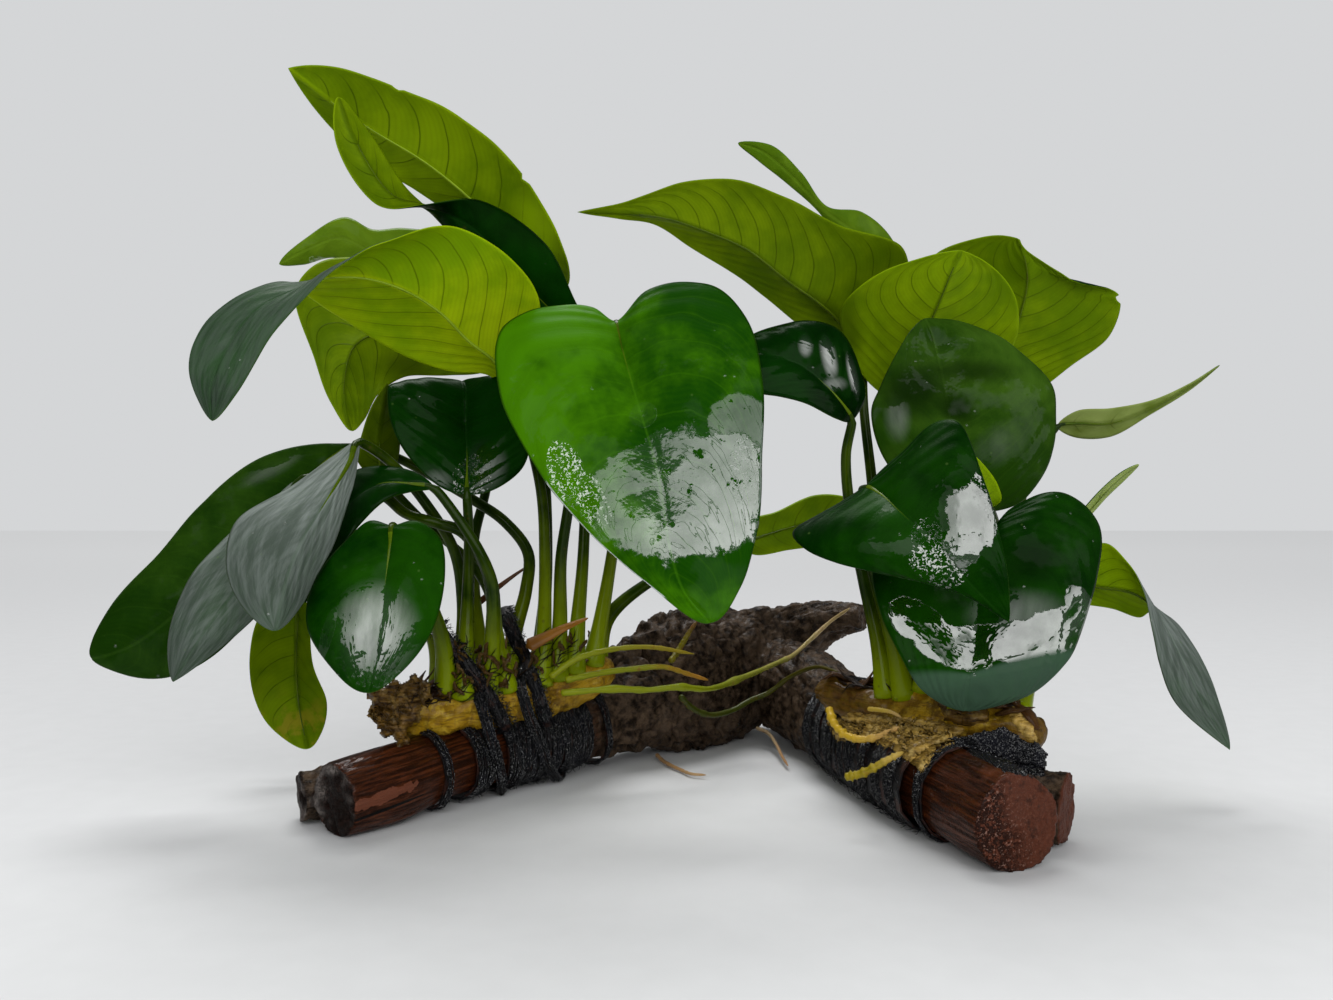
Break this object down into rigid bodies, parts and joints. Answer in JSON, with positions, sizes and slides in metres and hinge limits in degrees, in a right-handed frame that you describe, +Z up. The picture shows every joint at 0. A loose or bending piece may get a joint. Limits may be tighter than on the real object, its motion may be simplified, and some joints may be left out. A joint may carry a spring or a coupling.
{
  "type": "anubias on driftwood",
  "caption": "Aquarium plant: broad-leaved anubias with creeping rhizomes, bound with black thread to a forked piece of driftwood that stands on its limbs.",
  "frame": {"origin": "on the surface it stands on, under the middle of its bounding box", "axes": "+X to the right and +Y away as the picture sees it, +Z up"},
  "size_m": [0.3863, 0.2041, 0.2442],
  "materials": {
    "leaf_top": "waxy, wet, dark green",
    "leaf_underside": "satin, light green",
    "driftwood": "weathered, wet, dark reddish brown",
    "rhizome": "lumpy, ochre",
    "root": "smooth, yellow green",
    "pale_root": "smooth, pale tan",
    "dead_sheath": "dry, brown",
    "thread": "wound turns, black"
  },
  "bodies": {
    "root": {"left_high_leaf_outer": "leaf_underside", "left_high_leaf_twisted": "leaf_top", "left_arching_leaf": "leaf_underside", "left_back_leaf_wavy": "leaf_top", "left_broad_leaf_behind": "leaf_underside", "left_upright_dark_leaf": "leaf_top", "left_narrow_leaf": "leaf_underside", "left_front_grey_leaf": "leaf_top", "left_middle_grey_leaf": "leaf_top", "left_outer_dark_leaf": "leaf_top", "left_low_dark_leaf": "leaf_top", "left_round_leaf": "leaf_top", "left_hanging_leaf": "leaf_underside", "centre_heart_leaf": "leaf_top", "centre_back_leaf": "leaf_underside", "right_high_leaf_long": "leaf_underside", "right_back_leaf_slender": "leaf_top", "right_high_round_leaf": "leaf_underside", "right_bitten_leaf": "leaf_underside", "right_small_glossy_leaf": "leaf_top", "right_upright_dark_leaf": "leaf_top", "right_front_leaf": "leaf_top", "right_low_round_leaf": "leaf_top", "right_young_leaf": "leaf_underside", "right_ribbon_leaf": "leaf_underside", "right_thin_leaf_far": "leaf_underside", "right_drooping_leaf": "leaf_underside", "driftwood_left_limb": "driftwood", "driftwood_back_limb": "driftwood", "driftwood_right_limb": "driftwood", "driftwood_left_foot": "driftwood", "driftwood_right_foot": "driftwood", "left_rhizome": "rhizome", "right_rhizome": "rhizome", "left_root_upper": "root", "left_root_middle": "root", "left_root_fork": "root", "left_root_long": "root", "dark_root_between": "root", "right_root_looping": "root", "right_root_low": "root", "left_root_hanging": "pale_root", "middle_root_hanging": "pale_root", "right_root_short": "pale_root", "dead_sheath_front": "dead_sheath", "dead_sheath_back": "dead_sheath", "left_wrap_outer": "thread", "left_wrap_inner": "thread", "left_wrap_wide": "thread", "left_wrap_last": "thread", "right_wrap_wide": "thread", "right_wrap_last": "thread", "left_tie_outer": "thread", "left_tie_inner": "thread"}
  },
  "joints": []
}
